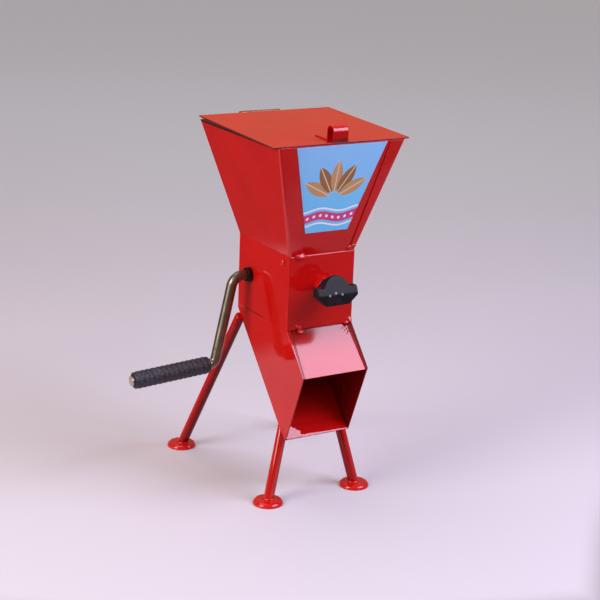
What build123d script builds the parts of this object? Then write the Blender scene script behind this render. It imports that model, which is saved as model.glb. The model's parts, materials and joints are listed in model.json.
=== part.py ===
from build123d import *
import os
from math import asin, atan2, cos, hypot, radians, sin, tan

os.makedirs("parts", exist_ok=True)

# Hand-cranked nut cracking machine. X runs to the right of the machine, the front
# with its knob and chute faces -Y, Z is up and the feet stand on Z = 0.

# Stock and clearances
SHEET = 1.5  # every steel sheet of the case and lid
LEG_BAR = 12.0  # round bar of the legs
CRANK_BAR = 12.0  # round bar of the crank
RUN_FIT = 0.08  # radial clearance of what turns
SET_FIT = 0.05  # radial gap of what is welded or pressed in
END_FIT = 0.3  # end clearance of what turns
LID_SEAT = 0.1  # height of the closed lid over the rim

# Body box
BODY_WIDTH = 85.0
BODY_DEPTH = 115.0
BODY_BASE = 206.0  # height of the seam between body and chute
BODY_HEIGHT = 85.0

# Hopper and the flanges that its side panels fold over the front panel
HOPPER_HEIGHT = 129.5
HOPPER_WIDTH = 159.0
HOPPER_DEPTH = 182.0
LEFT_FLANGE_LOW = 17.0
LEFT_FLANGE_TOP = 21.0
RIGHT_FLANGE_LOW = 8.0
RIGHT_FLANGE_TOP = 18.0

# Chute under the body
CHUTE_ANGLE = 48.0  # fall of the top plate below the horizontal
CHUTE_TOP_LENGTH = 58.6
CHUTE_REAR_DROP = 5.0  # start of the floor plate below the seam
FLOOR_ANGLE = 46.8
CHUTE_FLOOR_LENGTH = 154.8
LIP_ANGLE = 38.0
LIP_LENGTH = 18.4
CHUTE_FLANGE_HIGH = 6.0
CHUTE_FLANGE_LOW = 2.5
CHUTE_LAP = 6.0  # part of the top plate that reaches up inside the body

# Feet and legs
FOOT_DIAMETER = 35.0
FOOT_HEIGHT = 5.6
FOOT_ROUND = 3.8
FOOT_SKIN = 1.5  # metal left under the end of a leg
FRONT_SPLAY_SIDE = 22.8  # foot outside the top of its leg
FRONT_SPLAY_AHEAD = 9.8
FRONT_LEG_INSET = 7.0  # leg top inside the side faces of the body
FRONT_LEG_SETBACK = 2.5  # leg top behind the bend of the chute floor
REAR_LEFT_SPLAY_SIDE = 30.6
REAR_LEFT_SPLAY_BACK = 89.0
REAR_RIGHT_SPLAY_SIDE = 44.8
REAR_RIGHT_SPLAY_BACK = 83.5
REAR_LEG_INSET = 0.3
REAR_LEG_SETBACK = 7.0  # leg top in front of the rear of the body

# Lid, its pull and its hinge
LID_WIDTH = 172.0
LID_DEPTH = 171.5
LID_SETBACK = 2.0  # front edge of the lid behind the front of the hopper
LID_RISE = 4.4  # rear edge of the lid over its front edge
LID_CORNER = 2.0
PULL_X = -3.0
PULL_WIDTH = 18.5
PULL_DEPTH = 14.5
PULL_HEIGHT = 17.5
PULL_FOOT = 24.0
PULL_BEND = 7.0
HINGE_X = -4.5
HINGE_LENGTH = 52.0
HINGE_KNUCKLES = 5
HINGE_BARREL = 5.4
HINGE_PIN = 3.0
HINGE_SET = 4.1  # hinge axis behind the rear edge of the lid
LEAF = 1.2
LEAF_REACH = 16.0

# Crank, grip and cracking drum
SHAFT_HEIGHT = 42.2  # crank axis above the seam
CRANK_REACH = 21.4  # first bend outside the left panel
CRANK_DROP = 102.1
CRANK_LEAN = 22.1  # how far the arm moves out over its drop
CRANK_BEND_TOP = 14.0
CRANK_BEND_LOW = 9.0
CRANK_DROOP = 3.4  # fall of the grip bar
CRANK_END = 3.5  # bar standing out of the right bush
GRIP_LENGTH = 95.0
GRIP_DIAMETER = 20.0
GRIP_RIBS = 14
GRIP_RIB = 0.9
GRIP_START = 7.8  # inner end of the grip from the low bend's corner
GRIP_TAIL = 2.6  # bar standing out of the grip
GRIP_GROOVE = 0.8
GRIP_GROOVE_WIDTH = 3.0
BUSH_DIAMETER = 17.0
BUSH_OUT = 6.0
BUSH_IN = 2.0
WASHER = 1.0
WASHER_DIAMETER = 24.0
DRUM_DIAMETER = 46.0
DRUM_REAR_GAP = 2.5
DRUM_FLUTES = 24
FLUTE_DEPTH = 2.4
FLUTE_WIDTH = 4.4
DRUM_PIN = 5.0

# Swinging jaw
PIVOT_SETBACK = 13.5  # pivot behind the front of the body
PIVOT_DROP = 9.0  # pivot below the top of the body
PIVOT_PIN = 6.0
PIVOT_HEAD = 2.0  # rounded pin end outside each side panel
JAW_SLEEVE = 12.5
JAW_PLATE = 6.0
JAW_LENGTH = 78.0
JAW_RIBS = 9
JAW_RIB_PITCH = 5.0
JAW_RIB = 2.0
CRACK_GAP = 16.0  # drum to jaw ribs with the knob in its middle setting
BLOCK_WIDTH = 24.0
BLOCK_HEIGHT = 18.0
BLOCK_EDGE = 0.5  # thickness of the thrust block at its upper edge

# Adjuster
ADJUSTER_DROP = 26.0  # screw axis below the jaw pivot
SCREW = 12.0
SCREW_HOLE = 13.5
NUT_FLATS = 19.0
NUT_HEIGHT = 10.0
BALL = 10.0
BALL_GAP = 0.1
CUP_LAP = 1.2  # cup past the middle of the ball
KNOB_STANDOFF = 5.2  # knob in front of the nut
KNOB_COLLAR = 25.0
KNOB_COLLAR_LENGTH = 9.0
KNOB_HUB = 34.0
KNOB_LENGTH = 22.0
KNOB_CAP = 8.0  # plastic in front of the screw
KNOB_SPAN = 51.0
KNOB_TIP = 10.0  # height of a wing at its end
KNOB_FOOT = 29.0  # straight lower edge
KNOB_DROP = 15.0  # lower edge below the screw axis
KNOB_RIDGE = 2.5  # ridge across the front below the screw axis
KNOB_SLOPE = 9.0  # top of the front behind the ridge

# Label on the hopper front, with its gaps to the flanges beside it
LABEL_HEIGHT = 105.0
LABEL_MARGIN = 1.0  # label below the rim
LABEL_LEFT_TOP_GAP = 1.5
LABEL_LEFT_LOW_GAP = 5.4
LABEL_RIGHT_TOP_GAP = 4.5
LABEL_RIGHT_LOW_GAP = 13.1
LABEL_SHEET = 0.2

# Places that follow from the sizes above
half_w = BODY_WIDTH / 2
half_d = BODY_DEPTH / 2
inner_w = half_w - SHEET
body_top = BODY_BASE + BODY_HEIGHT
rim_z = body_top + HOPPER_HEIGHT
rim_w = HOPPER_WIDTH / 2
rim_d = HOPPER_DEPTH / 2
side_t = SHEET * hypot(rim_w - half_w, HOPPER_HEIGHT) / HOPPER_HEIGHT
front_t = SHEET * hypot(rim_d - half_d, HOPPER_HEIGHT) / HOPPER_HEIGHT
shaft_y = half_d - SHEET - DRUM_REAR_GAP - DRUM_DIAMETER / 2
shaft_z = BODY_BASE + SHAFT_HEIGHT
pivot_y = PIVOT_SETBACK - half_d
pivot_z = body_top - PIVOT_DROP
screw_z = pivot_z - ADJUSTER_DROP


def save(piece, name):
    piece.part.label = name
    export_step(piece.part, f"parts/{name}.step")


# Hopper panels: each lies between the body's top edge and the rim
def sloping_sheet(low, high):
    with BuildPart() as sheet:
        for z, (x0, x1, y0, y1) in ((body_top, low), (rim_z, high)):
            with BuildSketch(Plane.XY.offset(z)):
                with Locations(((x0 + x1) / 2, (y0 + y1) / 2)):
                    Rectangle(x1 - x0, y1 - y0)
        loft(ruled=True)
    return sheet


def hopper_side(side, flange_low, flange_top):
    def span(half, width):
        return sorted((side * half, side * (half - width)))

    wall = sloping_sheet(
        (*span(half_w, side_t), -half_d, half_d),
        (*span(rim_w, side_t), -rim_d, rim_d),
    )
    flange = sloping_sheet(
        (*span(half_w, flange_low), -half_d, front_t - half_d),
        (*span(rim_w, flange_top), -rim_d, front_t - rim_d),
    )
    with BuildPart() as panel:
        add(wall.part)
        add(flange.part)
    return panel


hopper_left_panel = hopper_side(-1, LEFT_FLANGE_LOW, LEFT_FLANGE_TOP)
save(hopper_left_panel, "hopper_left_panel")

hopper_right_panel = hopper_side(1, RIGHT_FLANGE_LOW, RIGHT_FLANGE_TOP)
save(hopper_right_panel, "hopper_right_panel")

hopper_front_panel = sloping_sheet(
    (side_t - half_w, half_w - side_t, front_t - half_d, 2 * front_t - half_d),
    (side_t - rim_w, rim_w - side_t, front_t - rim_d, 2 * front_t - rim_d),
)
save(hopper_front_panel, "hopper_front_panel")

hopper_rear_panel = sloping_sheet(
    (side_t - half_w, half_w - side_t, half_d - front_t, half_d),
    (side_t - rim_w, rim_w - side_t, rim_d - front_t, rim_d),
)
save(hopper_rear_panel, "hopper_rear_panel")


# Body side panels carry the crank bushes and the jaw pivot pin
def body_side(side):
    with BuildPart() as panel:
        with BuildSketch(Plane.YZ.offset(min(side * half_w, side * inner_w))):
            with Locations((0, BODY_BASE)):
                Rectangle(BODY_DEPTH, BODY_HEIGHT, align=(Align.CENTER, Align.MIN))
            with Locations((shaft_y, shaft_z)):
                Circle(BUSH_DIAMETER / 2 + SET_FIT, mode=Mode.SUBTRACT)
            with Locations((pivot_y, pivot_z)):
                Circle(PIVOT_PIN / 2 + SET_FIT, mode=Mode.SUBTRACT)
        extrude(amount=SHEET)
    return panel


body_left_panel = body_side(-1)
save(body_left_panel, "body_left_panel")

body_right_panel = body_side(1)
save(body_right_panel, "body_right_panel")

with BuildPart() as body_front_panel:
    with BuildSketch(Plane.XZ.offset(half_d - SHEET)):
        with Locations((0, BODY_BASE)):
            Rectangle(2 * inner_w, BODY_HEIGHT, align=(Align.CENTER, Align.MIN))
        with Locations((0, screw_z)):
            Circle(SCREW_HOLE / 2, mode=Mode.SUBTRACT)
    extrude(amount=SHEET)
save(body_front_panel, "body_front_panel")

with BuildPart() as body_rear_panel:
    with BuildSketch(Plane.XZ.offset(-half_d)):
        with Locations((0, body_top)):
            Rectangle(
                2 * inner_w,
                BODY_HEIGHT + CHUTE_REAR_DROP,
                align=(Align.CENTER, Align.MAX),
            )
    extrude(amount=SHEET)
save(body_rear_panel, "body_rear_panel")


# Chute: a square duct that falls to the front, with a flatter lip at its mouth
def down_slope(start, angle, length):
    return (
        start[0] - length * cos(radians(angle)),
        start[1] - length * sin(radians(angle)),
    )


def off_slope(start, angle, height):
    return (
        start[0] - height * sin(radians(angle)),
        start[1] + height * cos(radians(angle)),
    )


chute_front = (-half_d, BODY_BASE)
chute_seam_rear = (half_d, BODY_BASE)
chute_rear = (half_d, BODY_BASE - CHUTE_REAR_DROP)
mouth_top = down_slope(chute_front, CHUTE_ANGLE, CHUTE_TOP_LENGTH)
floor_end = down_slope(chute_rear, FLOOR_ANGLE, CHUTE_FLOOR_LENGTH)
lip_end = down_slope(floor_end, LIP_ANGLE, LIP_LENGTH)
fall = radians(CHUTE_ANGLE)
floor_fall = radians(FLOOR_ANGLE)
# Outer face of the top plate's flanges, local Y down the slope and local Z inward
chute_top_face = Plane(
    origin=(0, *chute_front), x_dir=(1, 0, 0), z_dir=(0, sin(fall), -cos(fall))
)
# Outer face of the floor plate, local Z out of the duct
chute_floor_face = Plane(
    origin=(0, *chute_rear),
    x_dir=(1, 0, 0),
    z_dir=(0, sin(floor_fall), -cos(floor_fall)),
)


def chute_side(side):
    with BuildPart() as panel:
        with BuildSketch(Plane.YZ.offset(min(side * half_w, side * inner_w))):
            with BuildLine():
                Polyline(
                    chute_rear,
                    chute_seam_rear,
                    chute_front,
                    mouth_top,
                    lip_end,
                    floor_end,
                    close=True,
                )
            make_face()
        extrude(amount=SHEET)
        with BuildSketch(chute_top_face):
            with BuildLine():
                Polyline(
                    (side * half_w, 0),
                    (side * (half_w - CHUTE_FLANGE_HIGH), 0),
                    (side * (half_w - CHUTE_FLANGE_LOW), CHUTE_TOP_LENGTH),
                    (side * half_w, CHUTE_TOP_LENGTH),
                    close=True,
                )
            make_face()
        extrude(amount=SHEET)
    return panel


chute_left_panel = chute_side(-1)
save(chute_left_panel, "chute_left_panel")

chute_right_panel = chute_side(1)
save(chute_right_panel, "chute_right_panel")

with BuildPart() as chute_top_plate:
    with BuildSketch(chute_top_face.offset(SHEET)):
        with Locations((0, -CHUTE_LAP)):
            Rectangle(
                2 * inner_w,
                CHUTE_TOP_LENGTH + CHUTE_LAP,
                align=(Align.CENTER, Align.MIN),
            )
    extrude(amount=SHEET)
save(chute_top_plate, "chute_top_plate")

bend = radians(FLOOR_ANGLE - LIP_ANGLE) / 2
floor_inner_top = (half_d - SHEET / sin(floor_fall), chute_rear[1])
floor_inner_bend = off_slope(floor_end, (FLOOR_ANGLE + LIP_ANGLE) / 2, SHEET / cos(bend))
lip_inner_end = off_slope(lip_end, LIP_ANGLE, SHEET)
with BuildPart() as chute_floor_plate:
    with BuildSketch(Plane.YZ.offset(-inner_w)):
        with BuildLine():
            Polyline(
                chute_rear,
                floor_end,
                lip_end,
                lip_inner_end,
                floor_inner_bend,
                floor_inner_top,
                close=True,
            )
        make_face()
    extrude(amount=2 * inner_w)
save(chute_floor_plate, "chute_floor_plate")


# Legs butt against the chute floor and stand in blind holes of the foot discs;
# the front pair is cut to the slope of the floor, the rear pair is cut square
def leg_bar(top_x, top_y, foot_x, foot_y, radius, past):
    top_z = chute_rear[1] - (half_d - top_y) * tan(floor_fall)
    run = (top_x - foot_x, top_y - foot_y, top_z - FOOT_SKIN)
    length = hypot(*run)
    axis = Plane(origin=(foot_x, foot_y, FOOT_SKIN), z_dir=run)
    with BuildPart() as bar:
        with BuildSketch(axis.offset(-LEG_BAR)):
            Circle(radius)
        extrude(amount=LEG_BAR + length + past)
        split(bisect_by=chute_floor_face, keep=Keep.TOP)
        split(bisect_by=Plane.XY.offset(FOOT_SKIN), keep=Keep.TOP)
    return bar


def foot_disc(socket, foot_x, foot_y):
    with BuildPart() as foot:
        with Locations((foot_x, foot_y, 0)):
            Cylinder(
                FOOT_DIAMETER / 2,
                FOOT_HEIGHT,
                align=(Align.CENTER, Align.CENTER, Align.MIN),
            )
        fillet(foot.edges().group_by(Axis.Z)[-1], radius=FOOT_ROUND)
        add(socket.part, mode=Mode.SUBTRACT)
    return foot


front_leg_x = half_w - FRONT_LEG_INSET
front_leg_y = floor_end[0] + FRONT_LEG_SETBACK
rear_leg_x = half_w - REAR_LEG_INSET
rear_leg_y = half_d - REAR_LEG_SETBACK
front_foot_y = front_leg_y - FRONT_SPLAY_AHEAD
legs = {
    "front_left": (-1, front_leg_x, front_leg_y, FRONT_SPLAY_SIDE, front_foot_y),
    "front_right": (1, front_leg_x, front_leg_y, FRONT_SPLAY_SIDE, front_foot_y),
    "rear_left": (
        -1, rear_leg_x, rear_leg_y, REAR_LEFT_SPLAY_SIDE, rear_leg_y + REAR_LEFT_SPLAY_BACK
    ),
    "rear_right": (
        1, rear_leg_x, rear_leg_y, REAR_RIGHT_SPLAY_SIDE, rear_leg_y + REAR_RIGHT_SPLAY_BACK
    ),
}
for corner, (side, top_x, top_y, splay, foot_y) in legs.items():
    foot_x = side * (top_x + splay)
    past = 2 * LEG_BAR if corner.startswith("front") else 0
    leg = leg_bar(side * top_x, top_y, foot_x, foot_y, LEG_BAR / 2, past)
    save(leg, f"{corner}_leg")
    socket = leg_bar(side * top_x, top_y, foot_x, foot_y, LEG_BAR / 2 + SET_FIT, past)
    foot = foot_disc(socket, foot_x, foot_y)
    save(foot, f"{corner}_foot")


# Crank: one bar through both bushes, bent twice on the left side
def bush(side):
    outer = side * (half_w + BUSH_OUT)
    inner = side * (inner_w - BUSH_IN)
    with BuildPart() as tube:
        with BuildSketch(Plane.YZ.offset(min(outer, inner))):
            with Locations((shaft_y, shaft_z)):
                Circle(BUSH_DIAMETER / 2)
                Circle(CRANK_BAR / 2 + RUN_FIT, mode=Mode.SUBTRACT)
        extrude(amount=abs(outer - inner))
    return tube


left_bush = bush(-1)
save(left_bush, "left_bush")

right_bush = bush(1)
save(right_bush, "right_bush")

droop = radians(CRANK_DROOP)
crank_plane = Plane(origin=(0, shaft_y, 0), x_dir=(1, 0, 0), z_dir=(0, -1, 0))
crank_start = (half_w + BUSH_OUT + CRANK_END, shaft_z)
crank_corner = (-half_w - CRANK_REACH, shaft_z)
grip_corner = (crank_corner[0] - CRANK_LEAN, shaft_z - CRANK_DROP)


def grip_point(distance):
    return (
        grip_corner[0] - distance * cos(droop),
        grip_corner[1] - distance * sin(droop),
    )


crank_end = grip_point(GRIP_START + GRIP_LENGTH + GRIP_TAIL)
grip_origin = grip_point(GRIP_START)
# Local X runs out along the grip bar from the inner end of the grip
grip_plane = Plane(
    origin=(grip_origin[0], shaft_y, grip_origin[1]),
    x_dir=(-cos(droop), 0, -sin(droop)),
    z_dir=(0, -1, 0),
)
groove_x = GRIP_LENGTH - 3 * GRIP_GROOVE_WIDTH

with BuildPart() as crank_rod:
    with BuildLine(crank_plane) as crank_path:
        FilletPolyline(
            crank_start,
            crank_corner,
            grip_corner,
            crank_end,
            radius=(CRANK_BEND_TOP, CRANK_BEND_LOW),
        )
    with BuildSketch(Plane(origin=(crank_start[0], shaft_y, shaft_z), z_dir=(-1, 0, 0))):
        Circle(CRANK_BAR / 2)
    sweep(path=crank_path.wires()[0])
    with Locations((0, shaft_y, shaft_z)):
        Cylinder(DRUM_PIN / 2 + SET_FIT, 2 * CRANK_BAR, mode=Mode.SUBTRACT)
    with BuildSketch(grip_plane):
        with Locations((groove_x, CRANK_BAR / 2)):
            Rectangle(GRIP_GROOVE_WIDTH, 2 * GRIP_GROOVE)
    revolve(axis=Axis(grip_plane.origin, grip_plane.x_dir), mode=Mode.SUBTRACT)
save(crank_rod, "crank_rod")

rib_pitch = GRIP_LENGTH / GRIP_RIBS
rib_low = GRIP_DIAMETER / 2 - GRIP_RIB
bore = CRANK_BAR / 2 + RUN_FIT
snap_half = GRIP_GROOVE_WIDTH / 2 - END_FIT
snap_low = CRANK_BAR / 2 - GRIP_GROOVE + RUN_FIT
with BuildPart() as crank_grip:
    with BuildSketch(grip_plane):
        with BuildLine():
            for rib in range(GRIP_RIBS):
                ThreePointArc(
                    (rib * rib_pitch, rib_low),
                    ((rib + 0.5) * rib_pitch, GRIP_DIAMETER / 2),
                    ((rib + 1) * rib_pitch, rib_low),
                )
            Polyline(
                (GRIP_LENGTH, rib_low),
                (GRIP_LENGTH, bore),
                (groove_x + snap_half, bore),
                (groove_x + snap_half, snap_low),
                (groove_x - snap_half, snap_low),
                (groove_x - snap_half, bore),
                (0, bore),
                (0, rib_low),
            )
        make_face()
    revolve(axis=Axis(grip_plane.origin, grip_plane.x_dir))
save(crank_grip, "crank_grip")

bush_inner = inner_w - BUSH_IN
washer_outer = bush_inner - END_FIT / 2
drum_half = washer_outer - WASHER - END_FIT / 2

with BuildPart() as thrust_washers:
    for x in (-washer_outer, washer_outer - WASHER):
        with BuildSketch(Plane.YZ.offset(x)):
            with Locations((shaft_y, shaft_z)):
                Circle(WASHER_DIAMETER / 2)
                Circle(CRANK_BAR / 2 + RUN_FIT, mode=Mode.SUBTRACT)
        extrude(amount=WASHER)
save(thrust_washers, "thrust_washers")

with BuildPart() as cracking_drum:
    with BuildSketch(Plane.YZ.offset(-drum_half)):
        with Locations((shaft_y, shaft_z)):
            Circle(DRUM_DIAMETER / 2)
            Circle(CRANK_BAR / 2 + SET_FIT, mode=Mode.SUBTRACT)
            with PolarLocations(DRUM_DIAMETER / 2, DRUM_FLUTES):
                Polygon(
                    (-FLUTE_DEPTH, 0),
                    (FLUTE_DEPTH / 4, -FLUTE_WIDTH * 5 / 8),
                    (FLUTE_DEPTH / 4, FLUTE_WIDTH * 5 / 8),
                    align=None,
                    mode=Mode.SUBTRACT,
                )
    extrude(amount=2 * drum_half)
    with Locations((0, shaft_y, shaft_z)):
        Cylinder(DRUM_PIN / 2 + SET_FIT, DRUM_DIAMETER, mode=Mode.SUBTRACT)
save(cracking_drum, "cracking_drum")

with BuildPart() as drum_pin:
    with Locations((0, shaft_y, shaft_z)):
        Cylinder(DRUM_PIN / 2, DRUM_DIAMETER - 2 * FLUTE_DEPTH - 2 * END_FIT)
save(drum_pin, "drum_pin")

# Jaw: a ribbed plate that hangs from the pivot and leans towards the drum
to_drum = (shaft_y - pivot_y, pivot_z - shaft_z)
jaw_stand = DRUM_DIAMETER / 2 + CRACK_GAP + JAW_RIB + JAW_PLATE / 2
lean = atan2(to_drum[0], to_drum[1]) - asin(jaw_stand / hypot(*to_drum))
# Local X runs down the jaw and local Y towards the drum
jaw_plane = Plane(
    origin=(0, pivot_y, pivot_z), x_dir=(0, sin(lean), -cos(lean)), z_dir=(1, 0, 0)
)
jaw_half = inner_w - END_FIT
block_y = (
    pivot_y
    + (ADJUSTER_DROP - BLOCK_HEIGHT / 2) * tan(lean)
    - JAW_PLATE / 2 / cos(lean)
    - BLOCK_EDGE
)


def jaw_middle(z):
    return (pivot_y + (pivot_z - z) * tan(lean), z)


with BuildPart() as jaw_pivot_pin:
    with Locations(Location((0, pivot_y, pivot_z), (0, 90, 0))):
        Cylinder(PIVOT_PIN / 2, BODY_WIDTH + 2 * PIVOT_HEAD)
    fillet(jaw_pivot_pin.edges().filter_by(GeomType.CIRCLE), radius=0.6 * PIVOT_HEAD)
save(jaw_pivot_pin, "jaw_pivot_pin")

with BuildPart() as jaw_sleeve:
    with BuildSketch(Plane.YZ.offset(-jaw_half)):
        with Locations((pivot_y, pivot_z)):
            Circle(JAW_SLEEVE / 2)
            Circle(PIVOT_PIN / 2 + RUN_FIT, mode=Mode.SUBTRACT)
    extrude(amount=2 * jaw_half)
save(jaw_sleeve, "jaw_sleeve")

first_rib = JAW_LENGTH - JAW_RIBS * JAW_RIB_PITCH
with BuildPart() as jaw_plate:
    with BuildSketch(jaw_plane.offset(-jaw_half)):
        with BuildLine():
            ribs = [(first_rib, JAW_PLATE / 2)]
            for rib in range(JAW_RIBS):
                at = first_rib + rib * JAW_RIB_PITCH
                ribs.append((at + JAW_RIB_PITCH / 2, JAW_PLATE / 2 + JAW_RIB))
                ribs.append((at + JAW_RIB_PITCH, JAW_PLATE / 2))
            Polyline(
                (0, -JAW_PLATE / 2),
                (0, JAW_PLATE / 2),
                *ribs,
                (JAW_LENGTH, -JAW_PLATE / 2),
                close=True,
            )
        make_face()
        Circle(JAW_SLEEVE / 2 + SET_FIT, mode=Mode.SUBTRACT)
    extrude(amount=2 * jaw_half)
    with BuildSketch(Plane.YZ.offset(-BLOCK_WIDTH / 2)):
        with BuildLine():
            Polyline(
                (block_y, screw_z + BLOCK_HEIGHT / 2),
                (block_y, screw_z - BLOCK_HEIGHT / 2),
                jaw_middle(screw_z - BLOCK_HEIGHT / 2),
                jaw_middle(screw_z + BLOCK_HEIGHT / 2),
                close=True,
            )
        make_face()
    extrude(amount=BLOCK_WIDTH)
save(jaw_plate, "jaw_plate")

# Adjuster: the screw turns in the welded nut and pushes the jaw through a ball
ball_y = block_y - BALL_GAP - BALL / 2
knob_rear = -half_d - NUT_HEIGHT - KNOB_STANDOFF
knob_front = knob_rear - KNOB_LENGTH
screw_front = knob_front + KNOB_CAP
screw_end = ball_y + CUP_LAP

with BuildPart() as thrust_ball:
    with Locations((0, ball_y, screw_z)):
        Sphere(BALL / 2)
save(thrust_ball, "thrust_ball")

with BuildPart() as adjuster_nut:
    with BuildSketch(Plane.XZ.offset(half_d)):
        with Locations((0, screw_z)):
            RegularPolygon(NUT_FLATS / 2, 6, major_radius=False)
            Circle(SCREW / 2 + RUN_FIT, mode=Mode.SUBTRACT)
    extrude(amount=NUT_HEIGHT)
save(adjuster_nut, "adjuster_nut")

with BuildPart() as adjusting_screw:
    with BuildSketch(Plane.XZ.offset(-screw_end)):
        with Locations((0, screw_z)):
            Circle(SCREW / 2)
    extrude(amount=screw_end - screw_front)
    with Locations((0, ball_y, screw_z)):
        Sphere(BALL / 2 + RUN_FIT, mode=Mode.SUBTRACT)
save(adjusting_screw, "adjusting_screw")

with BuildPart() as adjusting_knob:
    with BuildSketch(Plane.XZ.offset(KNOB_COLLAR_LENGTH - knob_rear)):
        with Locations((0, screw_z)):
            Circle(KNOB_HUB / 2)
            Polygon(
                (KNOB_SPAN / 2, KNOB_TIP / 2),
                (-KNOB_SPAN / 2, KNOB_TIP / 2),
                (-KNOB_SPAN / 2, -KNOB_TIP / 2),
                (-KNOB_FOOT / 2, -KNOB_DROP),
                (KNOB_FOOT / 2, -KNOB_DROP),
                (KNOB_SPAN / 2, -KNOB_TIP / 2),
                align=None,
            )
        with Locations((0, screw_z - KNOB_DROP)):
            Rectangle(
                KNOB_HUB,
                KNOB_HUB,
                align=(Align.CENTER, Align.MAX),
                mode=Mode.SUBTRACT,
            )
    extrude(amount=KNOB_LENGTH - KNOB_COLLAR_LENGTH)
    with BuildSketch(Plane.YZ.offset(-KNOB_SPAN / 2)):
        with BuildLine():
            Polyline(
                (knob_front, screw_z - KNOB_RIDGE),
                (knob_front, screw_z + KNOB_HUB / 2),
                (knob_front + KNOB_SLOPE, screw_z + KNOB_HUB / 2),
                close=True,
            )
        make_face()
    extrude(amount=KNOB_SPAN, mode=Mode.SUBTRACT)
    with BuildSketch(Plane.XZ.offset(-knob_rear)):
        with Locations((0, screw_z)):
            Circle(KNOB_COLLAR / 2)
    extrude(amount=KNOB_COLLAR_LENGTH)
    with BuildSketch(Plane.XZ.offset(-knob_rear)):
        with Locations((0, screw_z)):
            Circle(SCREW / 2 + SET_FIT)
    extrude(amount=KNOB_LENGTH - KNOB_CAP, mode=Mode.SUBTRACT)
save(adjusting_knob, "adjusting_knob")

# Lid: a flat sheet that rests on the front rim and rises to its rear hinge
tilt = asin(LID_RISE / LID_DEPTH)
lid_plane = Plane(
    origin=(0, LID_SETBACK - rim_d, rim_z + LID_SEAT),
    x_dir=(1, 0, 0),
    z_dir=(0, -sin(tilt), cos(tilt)),
)
# Section through the lid, local X towards the rear and local Y up
lid_section = Plane(origin=lid_plane.origin, x_dir=lid_plane.y_dir, z_dir=(1, 0, 0))

with BuildPart() as lid_panel:
    with BuildSketch(lid_plane) as lid_outline:
        Rectangle(LID_WIDTH, LID_DEPTH, align=(Align.CENTER, Align.MIN))
        fillet(lid_outline.vertices(), radius=LID_CORNER)
    extrude(amount=SHEET)
save(lid_panel, "lid_panel")

pull_bend = min(PULL_BEND, 0.48 * PULL_DEPTH)
eye_depth = PULL_DEPTH - 2 * SHEET
eye_height = PULL_HEIGHT - SHEET
with BuildPart() as lid_pull:
    with BuildSketch(lid_section.offset(PULL_X - PULL_WIDTH / 2)) as pull_outline:
        with Locations((0, SHEET)):
            Rectangle(PULL_DEPTH, PULL_HEIGHT, align=(Align.MIN, Align.MIN))
        fillet(pull_outline.vertices().group_by(Axis.Y)[-1], radius=pull_bend)
        with Locations((SHEET, SHEET)):
            RectangleRounded(
                eye_depth,
                2 * eye_height,
                pull_bend - SHEET,
                align=(Align.MIN, Align.CENTER),
                mode=Mode.SUBTRACT,
            )
        with Locations((PULL_DEPTH - SHEET, SHEET)):
            Rectangle(PULL_FOOT + SHEET, SHEET, align=(Align.MIN, Align.MIN))
    extrude(amount=PULL_WIDTH)
save(lid_pull, "lid_pull")

# Hinge: the moving leaf lies under the lid, the fixed one inside the rear panel
axis_reach = LID_DEPTH + HINGE_SET
hinge_axis = lid_section.from_local_coords((axis_reach, -LEAF / 2, 0))
hinge_y = hinge_axis.Y
hinge_z = hinge_axis.Z
knuckle = (HINGE_LENGTH - (HINGE_KNUCKLES - 1) * END_FIT) / HINGE_KNUCKLES
hinge_left = HINGE_X - HINGE_LENGTH / 2


def knuckle_left(number):
    return hinge_left + number * (knuckle + END_FIT)


rear_lean = (rim_d - half_d) / HOPPER_HEIGHT
leaf_t = LEAF * hypot(1, rear_lean)
leaf_top = rim_z - SHEET
leaf_low = leaf_top - LEAF_REACH


def rear_inside(z):
    return half_d - front_t + (z - body_top) * rear_lean


with BuildPart() as hinge_moving_leaf:
    with BuildSketch(lid_section.offset(hinge_left)):
        with Locations((LID_DEPTH - LEAF_REACH, -LEAF)):
            Rectangle(LEAF_REACH, LEAF, align=(Align.MIN, Align.MIN))
    extrude(amount=HINGE_LENGTH)
    for number in range(1, HINGE_KNUCKLES, 2):
        with BuildSketch(lid_section.offset(knuckle_left(number))):
            with Locations((axis_reach, -LEAF / 2)):
                Circle(HINGE_BARREL / 2)
            with Locations((LID_DEPTH - LEAF, -LEAF)):
                Rectangle(HINGE_SET + LEAF, LEAF, align=(Align.MIN, Align.MIN))
            with Locations((axis_reach, -LEAF / 2)):
                Circle(HINGE_PIN / 2 + RUN_FIT, mode=Mode.SUBTRACT)
        extrude(amount=knuckle)
save(hinge_moving_leaf, "hinge_moving_leaf")

with BuildPart() as hinge_fixed_leaf:
    with BuildSketch(Plane.YZ.offset(hinge_left)):
        with BuildLine():
            Polyline(
                (rear_inside(leaf_low), leaf_low),
                (rear_inside(leaf_top), leaf_top),
                (rear_inside(leaf_top) - leaf_t, leaf_top),
                (rear_inside(leaf_low) - leaf_t, leaf_low),
                close=True,
            )
        make_face()
    extrude(amount=HINGE_LENGTH)
    for number in range(0, HINGE_KNUCKLES, 2):
        with BuildSketch(Plane.YZ.offset(knuckle_left(number))):
            with BuildLine():
                Polyline(
                    (rear_inside(leaf_top - SHEET), leaf_top - SHEET),
                    (rear_inside(leaf_top), leaf_top),
                    (hinge_y + 0.4 * HINGE_BARREL, hinge_z),
                    (hinge_y + 0.4 * HINGE_BARREL - LEAF, hinge_z),
                    (rear_inside(leaf_top) - leaf_t, leaf_top),
                    (rear_inside(leaf_top - SHEET) - leaf_t, leaf_top - SHEET),
                    close=True,
                )
            make_face()
            with Locations((hinge_y, hinge_z)):
                Circle(HINGE_BARREL / 2)
                Circle(HINGE_PIN / 2 + SET_FIT, mode=Mode.SUBTRACT)
        extrude(amount=knuckle)
save(hinge_fixed_leaf, "hinge_fixed_leaf")

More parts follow.
